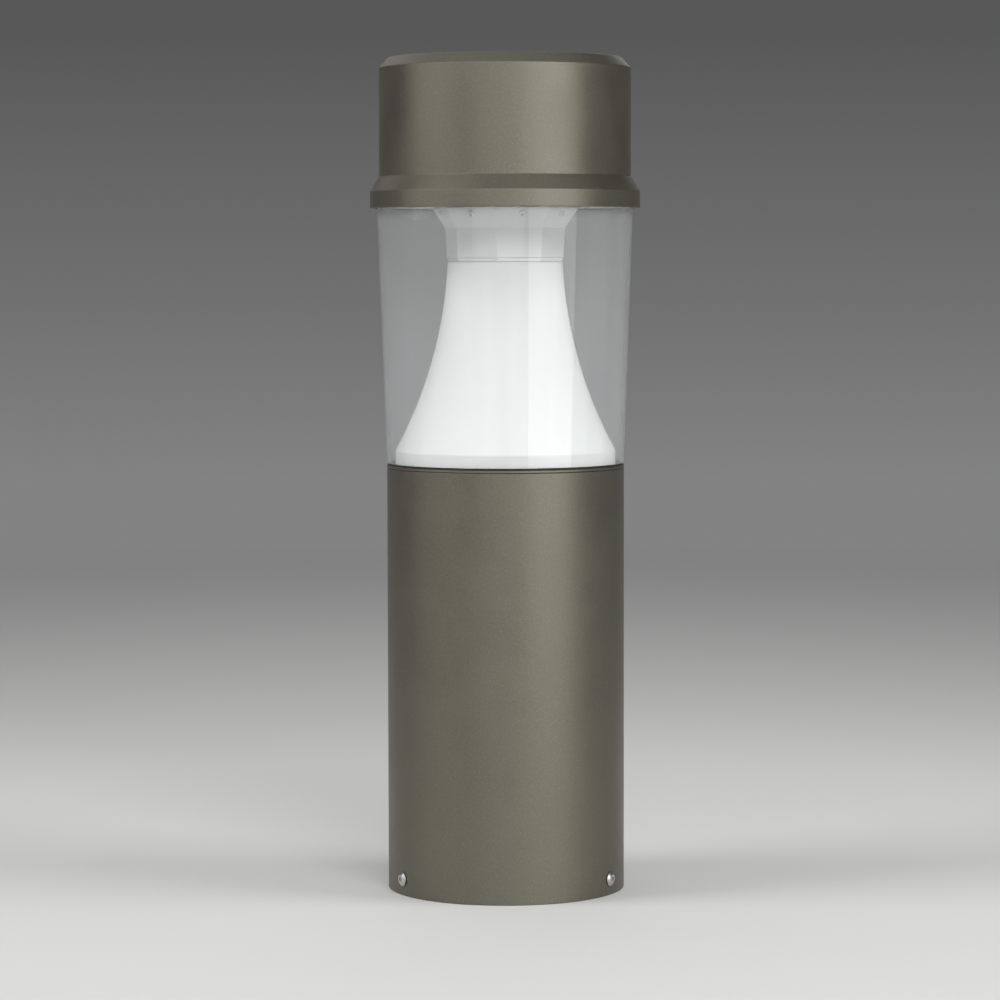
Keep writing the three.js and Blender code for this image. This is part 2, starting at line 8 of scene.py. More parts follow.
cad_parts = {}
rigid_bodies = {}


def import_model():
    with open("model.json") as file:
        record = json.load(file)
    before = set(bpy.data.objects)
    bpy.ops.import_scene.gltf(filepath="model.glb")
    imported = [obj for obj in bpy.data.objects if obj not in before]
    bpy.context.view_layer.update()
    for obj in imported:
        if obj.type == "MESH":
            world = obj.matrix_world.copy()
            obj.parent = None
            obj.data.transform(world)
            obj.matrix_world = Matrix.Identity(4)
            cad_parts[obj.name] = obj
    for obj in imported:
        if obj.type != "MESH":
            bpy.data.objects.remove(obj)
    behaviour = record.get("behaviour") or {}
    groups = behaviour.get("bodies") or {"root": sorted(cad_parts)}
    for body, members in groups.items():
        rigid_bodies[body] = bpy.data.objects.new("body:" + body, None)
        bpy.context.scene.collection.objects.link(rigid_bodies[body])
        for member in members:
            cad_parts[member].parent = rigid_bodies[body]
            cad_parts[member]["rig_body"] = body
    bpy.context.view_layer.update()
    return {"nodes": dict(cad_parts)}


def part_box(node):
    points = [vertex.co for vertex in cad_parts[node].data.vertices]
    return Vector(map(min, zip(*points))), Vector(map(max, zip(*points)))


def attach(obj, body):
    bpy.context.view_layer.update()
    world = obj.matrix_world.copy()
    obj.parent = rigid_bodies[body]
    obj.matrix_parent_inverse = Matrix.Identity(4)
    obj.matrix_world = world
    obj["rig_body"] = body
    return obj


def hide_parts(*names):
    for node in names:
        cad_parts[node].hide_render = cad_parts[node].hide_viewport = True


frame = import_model()
scene = bpy.context.scene

# Lengths below are millimetres and become metres in piece(). Bearings run from the front (-Y) towards +X.
MM = 0.001
GAP = 0.3  # clearance between neighbours
VERY_FINE = 256  # segments round the lens and the head
FINE = 192  # segments round another large turned piece
MIDDLING = 96  # segments round the anchor base
MEDIUM = 48  # segments round a boss, a pocket or a nut
SMALL = 24  # segments round a rod, a screw or a hole
FRONT_THREE = (0, 120, 240)
BETWEEN_THREE = (60, 180, 300)


def span(node):
    """Outer radius, bottom and top of a CAD node that is centred on the axis, in mm."""
    low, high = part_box(node)
    return high.x / MM, low.z / MM, high.z / MM


def heights(node):
    """Bottom and top of a CAD node, in mm."""
    return span(node)[1:]


def corners(node):
    """The low and high corners of a CAD node's box, in mm."""
    return [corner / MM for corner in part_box(node)]


def centre(node):
    """The middle of a CAD node's box, in mm."""
    low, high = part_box(node)
    return (low + high) / 2 / MM


def around(bearing, radius, z=0.0):
    """The point at a bearing and a distance from the axis."""
    angle = math.radians(bearing)
    return Vector((radius * math.sin(angle), -radius * math.cos(angle), z))


# ---- materials ----------------------------------------------------------


class Nodes:
    """A material's node tree, with short calls for the nodes that the finishes share."""

    def __init__(self, name):
        self.material = bpy.data.materials.new(name)
        self.material.use_nodes = True
        self.tree = self.material.node_tree
        self.tree.nodes.clear()
        self.shader = self.new("ShaderNodeBsdfPrincipled")
        self.output = self.new("ShaderNodeOutputMaterial")
        self.place = self.new("ShaderNodeTexCoord").outputs["Object"]
        self.link(self.shader.outputs[0], self.output.inputs[0])

    def new(self, kind, **inputs):
        node = self.tree.nodes.new(kind)
        for key, value in inputs.items():
            self.set(node, key.replace("_", " "), value)
        return node

    def set(self, node, key, value):
        if isinstance(value, bpy.types.NodeSocket):
            self.link(value, node.inputs[key])
        else:
            node.inputs[key].default_value = value

    def link(self, source, target):
        self.tree.links.new(source, target)

    def noise(self, scale, detail=3.0, stretch=(1, 1, 1)):
        """A noise value from 0 to 1. The scale is in features per metre."""
        mapping = self.new("ShaderNodeMapping", Vector=self.place, Scale=stretch)
        node = self.new("ShaderNodeTexNoise", Vector=mapping.outputs[0], Scale=scale, Detail=detail)
        return node.outputs["Fac"]

    def ranged(self, value, low, high, start=0.3, end=0.7):
        node = self.new("ShaderNodeMapRange", Value=value)
        for index, number in zip((1, 2, 3, 4), (start, end, low, high)):
            node.inputs[index].default_value = number
        return node.outputs[0]

    def mix(self, factor, first, second):
        node = self.tree.nodes.new("ShaderNodeMix")
        node.data_type = "RGBA"
        for index, value in ((0, factor), (6, first), (7, second)):
            self.set(node, index, value)
        return node.outputs[2]

    def maths(self, operation, first, second):
        node = self.tree.nodes.new("ShaderNodeMath")
        node.operation = operation
        self.set(node, 0, first)
        self.set(node, 1, second)
        return node.outputs[0]

    def bump(self, height, distance, strength=1.0):
        """Bump from a height value. A second call lies on top of the first."""
        node = self.new("ShaderNodeBump", Height=height, Strength=strength, Distance=distance)
        below = self.shader.inputs["Normal"]
        if below.is_linked:
            self.link(below.links[0].from_socket, node.inputs["Normal"])
        self.link(node.outputs[0], below)

    def edges(self):
        """1 on convex edges and 0 elsewhere."""
        geometry = self.tree.nodes.new("ShaderNodeNewGeometry")
        return self.ranged(geometry.outputs["Pointiness"], 0.0, 1.0, 0.53, 0.6)

    def blend(self, factor, first, second):
        """Puts a mix of two shaders on the output."""
        node = self.tree.nodes.new("ShaderNodeMixShader")
        self.link(factor, node.inputs[0])
        self.link(first.outputs[0], node.inputs[1])
        self.link(second.outputs[0], node.inputs[2])
        self.link(node.outputs[0], self.output.inputs[0])


def tone(colour, share):
    """A colour made lighter or darker, with full alpha."""
    return tuple(min(1.0, c * share) for c in colour[:3]) + (1.0,)


def finish(name, colour, roughness, metallic=0.0, mottle=0.06, grain=1200, depth=0.00002, wear=1.25,
           stretch=(1, 1, 1)):
    """A surface with broad mottling, a fine grain in colour, gloss and bump, and edges where it wears.
    The grain is in features per metre, the bump's depth in metres, and wear is how much lighter edges are."""
    n = Nodes(name)
    broad = n.noise(22, 4.0, stretch)
    fine = n.noise(grain, 2.0, stretch)
    base = n.mix(n.ranged(broad, 0.0, 1.0), tone(colour, 1 - mottle), tone(colour, 1 + mottle))
    speck = n.mix(n.ranged(fine, 0.0, 1.0), tone(colour, 1 - 2 * mottle), tone(colour, 1 + 2 * mottle))
    base = n.mix(0.45, base, speck)
    worn = n.maths("MULTIPLY", n.edges(), n.ranged(n.noise(90), 0.2, 0.8))
    n.set(n.shader, "Base Color", n.mix(worn, base, tone(colour, wear)))
    mixed = n.maths("MULTIPLY", broad, fine)
    n.set(n.shader, "Roughness", n.ranged(mixed, roughness - 0.05, roughness + 0.05, 0.15, 0.35))
    n.shader.inputs["Metallic"].default_value = metallic
    n.bump(fine, depth, 0.6)
    return n


def bronze_paint():
    """Metallic powder coat: flakes, a slight orange peel and soft clouds of colour."""
    n = finish("bronze_powder_coat", (0.195, 0.183, 0.146), 0.43, 0.93, grain=520, wear=1.0)
    flakes = n.tree.nodes.new("ShaderNodeTexVoronoi")
    n.set(flakes, "Vector", n.place)
    flakes.inputs["Scale"].default_value = 520
    bright = n.ranged(flakes.outputs["Distance"], 1.0, 0.0, 0.1, 0.35)
    below = n.shader.inputs["Base Color"].links[0].from_socket
    n.set(n.shader, "Base Color", n.mix(n.maths("MULTIPLY", bright, 0.3), below, (0.34, 0.32, 0.27, 1)))
    n.bump(n.noise(320, 1.0), 0.00003, 0.35)
    return n.material


def white_paint():
    """Satin white powder coat with a slight orange peel."""
    n = finish("white_powder_coat", (0.85, 0.855, 0.845), 0.42, mottle=0.01, grain=1400, depth=0.000012,
               wear=1.04)
    n.bump(n.noise(300, 1.0), 0.00003, 0.3)
    return n.material


def clear_lens():
    """Clear acrylic with a slight haze in faint upright draw lines. Lamplight passes straight through it."""
    n = Nodes("clear_acrylic")
    lines = n.noise(60, 2.0, (1, 1, 0.02))
    n.set(n.shader, "Base Color", n.mix(n.ranged(lines, 0.0, 1.0), (0.93, 0.95, 0.95, 1), (0.99, 1, 1, 1)))
    n.set(n.shader, "Roughness", n.ranged(lines, 0.02, 0.05))
    n.shader.inputs["IOR"].default_value = 1.49
    n.shader.inputs["Specular IOR Level"].default_value = 0.04
    n.shader.inputs["Transmission Weight"].default_value = 0.925
    n.bump(lines, 0.00002, 0.2)
    path = n.tree.nodes.new("ShaderNodeLightPath")
    passing = n.new("ShaderNodeBsdfTransparent", Color=(0.95, 0.955, 0.955, 1))
    n.blend(path.outputs["Is Shadow Ray"], n.shader, passing)
    return n.material


def turned_metal(name, colour, roughness, pitch, depth):
    """Bare metal with fine tool marks that run round the axis."""
    n = finish(name, colour, roughness, 1.0, mottle=0.04, grain=900, depth=0.00001, wear=1.1)
    marks = n.tree.nodes.new("ShaderNodeTexWave")
    marks.wave_type = "RINGS"
    marks.rings_direction = "Z"
    n.set(marks, "Vector", n.place)
    for key, value in (("Scale", pitch), ("Distortion", 0.6), ("Detail", 2.0), ("Detail Scale", 3.0)):
        marks.inputs[key].default_value = value
    n.bump(marks.outputs["Fac"], depth, 0.5)
    return n.material


def cast_aluminium():
    """A bare casting: the grain of the mould and soft hollows."""
    n = finish("cast_aluminium", (0.56, 0.57, 0.58), 0.55, 1.0, mottle=0.1, grain=500, depth=0.0002)
    n.bump(n.noise(160, 4.0), 0.0003, 0.5)
    return n.material


def plain(name, colour, roughness, **options):
    """A finish with nothing added to it."""
    return finish(name, colour, roughness, **options).material


MATERIALS = {
    "bronze_paint": bronze_paint(),
    "white_paint": white_paint(),
    "clear_lens": clear_lens(),
    "cast_aluminium": cast_aluminium(),
    "plate_aluminium": turned_metal("turned_aluminium", (0.68, 0.69, 0.7), 0.34, 260, 0.00003),
    "stainless_steel": plain("stainless_steel", (0.6, 0.6, 0.59), 0.28, metallic=1.0, mottle=0.05, grain=2500,
                             depth=0.000012, wear=1.2, stretch=(1, 1, 0.15)),
    "black_rubber": plain("black_silicone", (0.022, 0.022, 0.022), 0.62, mottle=0.2, depth=0.00004, wear=1.8),
    "board_white": plain("white_solder_mask", (0.8, 0.81, 0.79), 0.3, mottle=0.02, wear=1.0),
    "driver_case": plain("enamelled_case", (0.66, 0.67, 0.66), 0.38, mottle=0.03, grain=700, depth=0.00003,
                         wear=1.15),
    "terminal_plastic": plain("moulded_nylon", (0.6, 0.61, 0.58), 0.45, mottle=0.04, grain=1800,
                              depth=0.00003, wear=1.1),
    "black_plastic": plain("moulded_black", (0.03, 0.03, 0.031), 0.42, mottle=0.15, depth=0.00004, wear=1.6),
    "black_cable": plain("black_cable_sheath", (0.03, 0.03, 0.032), 0.4, mottle=0.15, grain=2200,
                         depth=0.00003, wear=1.2),
    "red_cable": plain("red_cable_sheath", (0.36, 0.025, 0.018), 0.36, mottle=0.08, grain=2200, wear=1.1),
    "green_cable": plain("green_cable_sheath", (0.03, 0.2, 0.05), 0.36, mottle=0.08, grain=2200, wear=1.1),
    "phosphor": plain("phosphor", (0.78, 0.6, 0.08), 0.35, mottle=0.08, grain=3000, depth=0.00003, wear=1.0),
    # painted shade: a near-black colour for the hex sockets, standing in for the shade inside the recess of a
    # steel screw
    "socket_painted_shade": plain("painted_socket_shade", (0.09, 0.09, 0.088), 0.4, metallic=0.8, mottle=0.15, wear=1.5),
}


# ---- shapes -------------------------------------------------------------


def rounded(points, closed=True):
    """A profile with arcs at its corners. A point is (r, z) or (r, z, radius of its corner)."""
    result = []
    for i, point in enumerate(points):
        here = Vector(point[:2])
        end = not closed and i in (0, len(points) - 1)
        if len(point) < 3 or end:
            result.append(here)
            continue
        before = Vector(points[i - 1][:2]) - here
        after = Vector(points[(i + 1) % len(points)][:2]) - here
        turn = math.pi - before.angle(after)
        reach = min(point[2] * math.tan(turn / 2), before.length * 0.48, after.length * 0.48)
        radius = reach / math.tan(turn / 2)
        middle = here + (before.normalized() + after.normalized()).normalized() * math.hypot(reach, radius)
        first = here + before.normalized() * reach - middle
        last = here + after.normalized() * reach - middle
        start = math.atan2(first.y, first.x)
        sweep = math.remainder(math.atan2(last.y, last.x) - start, 2 * math.pi)
        steps = max(2, math.ceil(math.degrees(turn) / 15))
        for step in range(steps + 1):
            angle = start + sweep * step / steps
            result.append(middle + radius * Vector((math.cos(angle), math.sin(angle))))
    return result


def to_mesh(bm):
    """A mesh from a bmesh, welded and with its faces turned outwards."""
    bmesh.ops.remove_doubles(bm, verts=bm.verts, dist=1e-5)
    bmesh.ops.recalc_face_normals(bm, faces=bm.faces)
    mesh = bpy.data.meshes.new("shape")
    bm.to_mesh(mesh)
    bm.free()
    return mesh


def loft(loops, around_again=False, caps=False):
    """A skin over loops of equal length, or of one point for a tip."""
    bm = bmesh.new()
    rows = [[bm.verts.new(point) for point in loop] for loop in loops]
    pairs = list(zip(rows, rows[1:]))
    if around_again:
        pairs.append((rows[-1], rows[0]))
    for low, high in pairs:
        count = max(len(low), len(high))
        for i in range(count):
            j = (i + 1) % count
            face = [low[i % len(low)], low[j % len(low)], high[j % len(high)], high[i % len(high)]]
            unique = list(dict.fromkeys(face))
            if len(unique) > 2:
                bm.faces.new(unique)
    if caps:
        bm.faces.new(rows[0])
        bm.faces.new(rows[-1])
    return to_mesh(bm)


def turned(points, segments=FINE, closed=True):
    """The profile turned about Z. An open profile starts and ends on the axis."""
    loops = []
    for r, z in rounded(points, closed):
        if r < 1e-6:
            loops.append([Vector((0, 0, z))])
        else:
            loops.append([around(360 * i / segments, r, z) for i in range(segments)])
    return loft(loops, around_again=closed)


def washer(inner, outer, bottom, top, edge=0.3, segments=FINE):
    profile = [(inner, bottom, edge), (outer, bottom, edge), (outer, top, edge), (inner, top, edge)]
    return turned(profile, segments)


def post(radius, bottom, top, edge=0.0, segments=SMALL):
    profile = [(0, bottom), (radius, bottom, edge), (radius, top, edge), (0, top)]
    if not edge:
        profile = [point[:2] for point in profile]
    return turned(profile, segments, closed=False)


def prism(outline, bottom, top):
    """A flat outline of (x, y) points pulled up along Z."""
    return loft([[Vector((x, y, z)) for x, y in outline] for z in (bottom, top)], caps=True)


def block(size, place, edge=0.6, steps=3):
    """A box with rounded edges, its middle at place."""
    bm = bmesh.new()
    bmesh.ops.create_cube(bm, size=1.0)
    bmesh.ops.scale(bm, vec=size, verts=bm.verts)
    bmesh.ops.bevel(bm, geom=bm.edges[:], offset=edge, segments=steps, profile=0.5, affect="EDGES")
    bmesh.ops.translate(bm, vec=place, verts=bm.verts)
    return to_mesh(bm)


def moved(mesh, matrix=None, place=None, bearing=None):
    """The same mesh put in place: turned to a bearing, shifted, or both by one matrix."""
    if bearing is not None:
        mesh.transform(Matrix.Rotation(math.radians(bearing), 4, "Z"))
    if place is not None:
        mesh.transform(Matrix.Translation(place))
    if matrix is not None:
        mesh.transform(matrix)
    return mesh


def painted(mesh, index):
    """The mesh with every face on one of its piece's materials."""
    for face in mesh.polygons:
        face.material_index = index
    return mesh


def together(meshes):
    """Several meshes as one, their materials kept by index."""
    bm = bmesh.new()
    for mesh in meshes:
        bm.from_mesh(mesh)
    result = bpy.data.meshes.new("shape")
    bm.to_mesh(result)
    bm.free()
    return result


def combined(first, tools, operation):
    """The first mesh with the tools joined on, cut away or, with INTERSECT, only what is inside them."""
    objects = [bpy.data.objects.new("shape", mesh) for mesh in (first, together(tools))]
    for thing in objects:
        scene.collection.objects.link(thing)
    modifier = objects[0].modifiers.new("boolean", "BOOLEAN")
    modifier.object = objects[1]
    modifier.operation = operation
    modifier.solver = "EXACT"
    graph = bpy.context.evaluated_depsgraph_get()
    result = bpy.data.meshes.new_from_object(objects[0].evaluated_get(graph))
    for thing in objects:
        bpy.data.objects.remove(thing)
    return result


def cut(first, tools):
    return combined(first, tools, "DIFFERENCE")


def join(first, tools):
    return combined(first, tools, "UNION")


def whole_flats(mesh):
    """The mesh with the faces that lie in one plane joined, so that a flat roof shades as one surface."""
    shape = bmesh.new()
    shape.from_mesh(mesh)
    bmesh.ops.dissolve_limit(shape, angle_limit=0.002, verts=shape.verts[:], edges=shape.edges[:])
    shape.to_mesh(mesh)
    shape.free()
    return mesh


def regular(corner, count, start, z, edge=0.0):
    """The corners of a regular polygon at height z, each rounded by edge."""
    steps = 4
    if not edge:
        return [around(start + 360 * k / count, corner, z) for k in range(count)]
    points = []
    inset = corner - edge / math.cos(math.pi / count)
    for k in range(count):
        bearing = start + 360 * k / count
        for step in range(steps + 1):
            way = bearing + 360 / count * (step / steps - 0.5)
            points.append(around(bearing, inset, z) + around(way, edge))
    return points


def hexagon(across_flats, bottom, top):
    """A hexagonal bar whose corners are chamfered by a cone at both ends."""
    corner = across_flats / math.sqrt(3)
    bar = loft([regular(corner, 6, 0, z) for z in (bottom, top)], caps=True)
    low = across_flats / 2 - 0.1
    rise = (corner - low) * 0.58 + 0.14
    cone = turned([(0, bottom), (low, bottom), (corner + 0.4, bottom + rise), (corner + 0.4, top - rise),
                   (low, top), (0, top)], MEDIUM, closed=False)
    return combined(bar, [cone], "INTERSECT")


def threaded(radius, bottom, top, pitch, depth, threads):
    """A rod along Z with a helical thread inside each (from, to) stretch of heights."""
    heights = [bottom]
    z = bottom
    while z < top:
        close = any(start - pitch <= z <= end + pitch for start, end in threads)
        later = [start - pitch for start, end in threads if start - pitch > z]
        z = min(top, z + pitch / 5) if close else min([top, *later])
        heights.append(z)
    loops = [[Vector((0, 0, bottom))]]
    for z in heights:
        inside = any(start <= z <= end for start, end in threads)
        tip = 0.5 if z in (bottom, top) else 0.0
        loop = []
        for i in range(SMALL):
            phase = (z / pitch - i / SMALL) % 1.0
            groove = depth * (1 - abs(2 * phase - 1)) if inside else 0.0
            loop.append(around(360 * i / SMALL, radius - groove - tip, z))
        loops.append(loop)
    loops.append([Vector((0, 0, top))])
    return loft(loops)


def screw(shank, length, head, height, socket, floor=0.3):
    """A button-head screw with a hexagonal socket, its seat at z = 0 and a threaded shank below.
    The socket's faces take the piece's second material, a dark colour that is painted shade inside the
    recess."""
    cap = turned([
        (0, -0.4), (shank * 0.9, -0.4), (shank * 0.9, 0), (head, 0, 0.15), (head, height * 0.3, 0.3),
        (head * 0.65, height, height * 0.5), (0, height)], MEDIUM, closed=False)
    # The recess faces take the second material, dark paint that stands for the shade inside the socket.
    recess = painted(loft([regular(socket, 6, 15, z) for z in (height * floor, height + 1)], caps=True), 1)
    shaft = threaded(shank, -length, -0.2, shank * 0.36, shank * 0.12, [(-length + 0.4, -0.8)])
    return together([cut(cap, [recess]), shaft])


def smooth_path(points, step):
    """Points every step mm along a centripetal Catmull-Rom curve, the curve that the CAD leads follow."""
    ends = [2 * points[0] - points[1], *points, 2 * points[-1] - points[-2]]
    way = []
    for p0, p1, p2, p3 in zip(ends, ends[1:], ends[2:], ends[3:]):
        gaps = [max((b - a).length, 1e-6) ** 0.5 for a, b in ((p0, p1), (p1, p2), (p2, p3))]
        start = ((p1 - p0) / gaps[0] - (p2 - p0) / (gaps[0] + gaps[1]) + (p2 - p1) / gaps[1]) * gaps[1]
        end = ((p2 - p1) / gaps[1] - (p3 - p1) / (gaps[1] + gaps[2]) + (p3 - p2) / gaps[2]) * gaps[1]
        count = max(2, round((p2 - p1).length / step))
        for i in range(count):
            t = i / count
            way.append(p1 * (2 * t**3 - 3 * t**2 + 1) + start * (t**3 - 2 * t**2 + t)
                       + p2 * (3 * t**2 - 2 * t**3) + end * (t**3 - t**2))
    way.append(points[-1])
    return way


def tube(points, radius):
    """A round tube on a smooth curve through the points, with rounded ends."""
    sides = 16
    way = smooth_path([Vector(p) for p in points], 2.0)
    tangents = [(way[min(i + 1, len(way) - 1)] - way[max(i - 1, 0)]).normalized() for i in range(len(way))]
    side = tangents[0].orthogonal().normalized()
    loops = [[way[0]]]
    for i, (point, tangent) in enumerate(zip(way, tangents)):
        side = (side - tangent * side.dot(tangent)).normalized()
        across = tangent.cross(side)
        edge = 0.82 if i in (0, len(way) - 1) else 1.0
        loops.append([point + (side * math.cos(a) + across * math.sin(a)) * radius * edge
                      for a in (2 * math.pi * k / sides for k in range(sides))])
    loops.append([way[-1]])
    return loft(loops)


def piece(node, mesh, *slots, angle=32):
    """Makes the shown piece that stands for a CAD node, from a mesh in mm. The first slot is its own."""
    mesh.name = f"{node}_mesh"
    mesh.transform(Matrix.Scale(MM, 4))
    mesh.materials.clear()
    for name in slots:
        mesh.materials.append(MATERIALS[name])
    mesh.shade_smooth()
    mesh.set_sharp_from_angle(angle=math.radians(angle))
    thing = bpy.data.objects.new(f"{node}_finished", mesh)
    scene.collection.objects.link(thing)
    weighted = thing.modifiers.new("weighted_normals", "WEIGHTED_NORMAL")
    weighted.keep_sharp = True
    weighted.mode = "FACE_AREA"
    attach(thing, frame["nodes"][node]["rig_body"])
    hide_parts(node)


# ---- column and foot ----------------------------------------------------

COLUMN_R, FOOT_Z, COLUMN_TOP = span("column_tube")
WALL = 4.0
BORE_R, _, LUG_TOP = span("anchor_base")
BASE_HOLE_R = 46
RIB_R = 50
LUG_FOOT_R = 78  # how near the axis the base's lugs start
SLOT_RING = 63.5  # radius of the anchor bolts' circle
SLOT_R = 7.0
SLOT_HALF_SWEEP = 13.0
BASE_SCREW_Z = centre("base_screw_2").z
SCREW_HOLE_R = 3.4
DECK_R, DECK_BOTTOM, DECK_TOP = span("deck_plate")
CABLE_HOLE = 9.0
BLOCK_RING = 86.0
BLOCK_R = 6
BLOCK_BORE = 2.6
ROD_RING = 35.0
ROD_R = 4.0
ROD_PITCH = 1.25
ROD_PLACES = [around(bearing, ROD_RING) for bearing in FRONT_THREE]
COLLAR_INNER = 95
LENS_GASKET_INNER = 96.2


def radial(mesh, bearing, radius, z):
    """A shape that points along +Z turned to point outwards at a bearing, its origin at that radius."""
    matrix = Matrix.Rotation(math.radians(bearing), 4, "Z") @ Matrix.Translation((0, -radius, z))
    return moved(mesh, matrix @ Matrix.Rotation(math.pi / 2, 4, "X"))


def rod_holes(bottom, top):
    return [moved(post(ROD_R + GAP, bottom, top), place=place) for place in ROD_PLACES]


def column_tube():
    """The tube, three screw blocks welded inside under the deck, and the holes for the base screws.
    The extra heights in the profile keep the shading even round the holes."""
    inner = COLUMN_R - WALL
    under_blocks = DECK_BOTTOM - 32
    shell = turned([
        (inner, FOOT_Z, 0.4), (COLUMN_R, FOOT_Z, 0.6), (COLUMN_R, 26), (COLUMN_R, 32),
        (COLUMN_R, COLUMN_TOP, 0.7), (inner, COLUMN_TOP, 0.4), (inner, DECK_BOTTOM), (inner, under_blocks),
        (inner, 32), (inner, 26)])
    top = DECK_BOTTOM - GAP
    blocks = []
    for bearing in FRONT_THREE:
        outline = [(BLOCK_R * math.cos(a), -BLOCK_RING + BLOCK_R * math.sin(a)) for a in
                   (math.pi * k / 12 for k in range(13))]
        outline += [(-BLOCK_R, -inner - 1.5), (BLOCK_R, -inner - 1.5)]
        blocks.append(moved(prism(outline, top - 30, top), bearing=bearing))
    bores = [moved(post(BLOCK_BORE, top - 31, top + 1), place=around(b, BLOCK_RING)) for b in FRONT_THREE]
    holes = [radial(post(SCREW_HOLE_R, -3, 3), b, COLUMN_R - WALL / 2, BASE_SCREW_Z) for b in BETWEEN_THREE]
    return cut(join(shell, blocks), bores + holes)


def anchor_slot(bearing):
    """An arc slot with round ends, which lets the light be turned on its bolts."""
    outline = []
    for side, radius in ((1, SLOT_RING + SLOT_R), (-1, SLOT_RING - SLOT_R)):
        for k in range(9):
            outline.append(around(bearing - side * SLOT_HALF_SWEEP * (1 - k / 4), radius))
        turn = bearing + side * SLOT_HALF_SWEEP
        for k in range(1, 8):
            way = around(turn, 1.0) * math.cos(math.pi * k / 8) * side
            way += around(turn + 90, 1.0) * math.sin(math.pi * k / 8) * side
            outline.append(around(turn, SLOT_RING) + way * SLOT_R)
    return prism([(p.x, p.y) for p in outline], -2, 16)


def anchor_base():
    """A cast disc with a rib round the conduit's hole, three lugs for screws and three slots for bolts."""
    disc = washer(BASE_HOLE_R, BORE_R, 0, 12, 1.0, MIDDLING)
    rib = turned([(BASE_HOLE_R, 0.5), (RIB_R, 0.5), (RIB_R, 18, 1.2), (BASE_HOLE_R, 18, 1.2)], MIDDLING)
    depth = BORE_R + 5 - LUG_FOOT_R
    size = (36, depth, LUG_TOP - 0.5)
    place = (0, -(LUG_FOOT_R + depth / 2), LUG_TOP / 2 + 0.25)
    lugs = [moved(block(size, place, 1.5), bearing=b) for b in BETWEEN_THREE]
    bore = turned([(0, -1), (BORE_R, -1), (BORE_R, LUG_TOP + 1), (0, LUG_TOP + 1)], MIDDLING, closed=False)
    lugs = combined(together(lugs), [bore], "INTERSECT")
    body = join(join(disc, [rib]), [lugs])
    holes = [radial(post(SCREW_HOLE_R, -22, 2), b, COLUMN_R - WALL, BASE_SCREW_Z) for b in BETWEEN_THREE]
    return cut(body, [anchor_slot(b) for b in FRONT_THREE] + holes)


def deck_plate():
    disc = turned([(0, DECK_BOTTOM), (DECK_R, DECK_BOTTOM, 0.5), (DECK_R, DECK_TOP, 0.5), (0, DECK_TOP)],
                  FINE, closed=False)
    screws = [moved(post(BLOCK_BORE + GAP, DECK_BOTTOM - 1, DECK_TOP + 1), place=around(b, BLOCK_RING))
              for b in FRONT_THREE]
    centre_hole = post(CABLE_HOLE, DECK_BOTTOM - 1, DECK_TOP + 1, segments=MEDIUM)
    return cut(disc, screws + [centre_hole] + rod_holes(DECK_BOTTOM - 1, DECK_TOP + 1))


def collar_ring():
    outer, bottom, top = span("collar_ring")
    return turned([(COLLAR_INNER, bottom, 0.3), (outer, bottom, 0.5), (outer, top - 0.6, 0.5),
                   (outer - 0.6, top, 0.4), (COLLAR_INNER, top, 0.3)])


piece("column_tube", column_tube(), "bronze_paint")
piece("anchor_base", anchor_base(), "cast_aluminium")
piece("deck_plate", deck_plate(), "plate_aluminium")
piece("collar_ring", collar_ring(), "bronze_paint")
piece("lens_base_gasket", washer(LENS_GASKET_INNER, *span("lens_base_gasket"), 0.5), "black_rubber")
for i, bearing in enumerate(BETWEEN_THREE):
    shape = screw(shank=3, length=18, head=6, height=2.4, socket=2.2)
    piece(f"base_screw_{i + 1}", radial(shape, bearing, COLUMN_R + GAP, BASE_SCREW_Z), "stainless_steel",
          "socket_painted_shade")
for i, bearing in enumerate(FRONT_THREE):
    shape = screw(shank=2.3, length=20, head=4.5, height=2.6, socket=1.8)
    place = around(bearing, BLOCK_RING, DECK_TOP + GAP)
    piece(f"deck_screw_{i + 1}", moved(shape, place=place), "stainless_steel", "socket_painted_shade")

# ---- reflector and housing ----------------------------------------------

SKIRT_R, REFLECTOR_BOTTOM, REFLECTOR_TOP = span("reflector")
ARC_R = 371.7
ARC_CENTRE, ARC_Z = 420.4, 555.2  # the arc's centre: its distance from the axis and its height
SHEET = 2.0
CORNER = -8.0  # bearing of the octagon's first corner
HALF_SIDE = math.pi / 8


def arc_points(radius, low, high, steps=40):
    """The trumpet's curve at a distance from its centre, from one height up to another."""
    points = []
    for k in range(steps + 1):
        z = low + (high - low) * k / steps
        points.append((ARC_CENTRE - math.sqrt(radius**2 - (ARC_Z - z) ** 2), z))
    return points


def reflector():
    """A spun trumpet: an upright skirt, one arc and a narrow flat top, in sheet of one thickness."""
    low = ARC_Z - math.sqrt(ARC_R**2 - (ARC_CENTRE - SKIRT_R) ** 2)
    outside = arc_points(ARC_R, low, REFLECTOR_TOP)
    inner_r = SKIRT_R - SHEET
    inner_low = ARC_Z - math.sqrt((ARC_R + SHEET) ** 2 - (ARC_CENTRE - inner_r) ** 2)
    inside = arc_points(ARC_R + SHEET, inner_low, REFLECTOR_TOP - SHEET)[::-1]
    profile = [(inner_r, REFLECTOR_BOTTOM, 0.3), (SKIRT_R, REFLECTOR_BOTTOM, 0.5), (*outside[0], 5)]
    profile += [*outside[1:-1], (*outside[-1], 1.6), (CABLE_HOLE, REFLECTOR_TOP, 0.3)]
    profile += [(CABLE_HOLE, REFLECTOR_TOP - SHEET, 0.3), *inside]
    return cut(turned(profile), rod_holes(REFLECTOR_TOP - 6, REFLECTOR_TOP + 2))


def octagon(profile, edge, closed):
    """A profile of corner radii and heights swept round the octagon, its upright corners rounded."""
    loops = [regular(r, 8, CORNER, z, edge) for r, z in rounded(profile, closed)]
    return loft(loops, around_again=closed, caps=not closed)


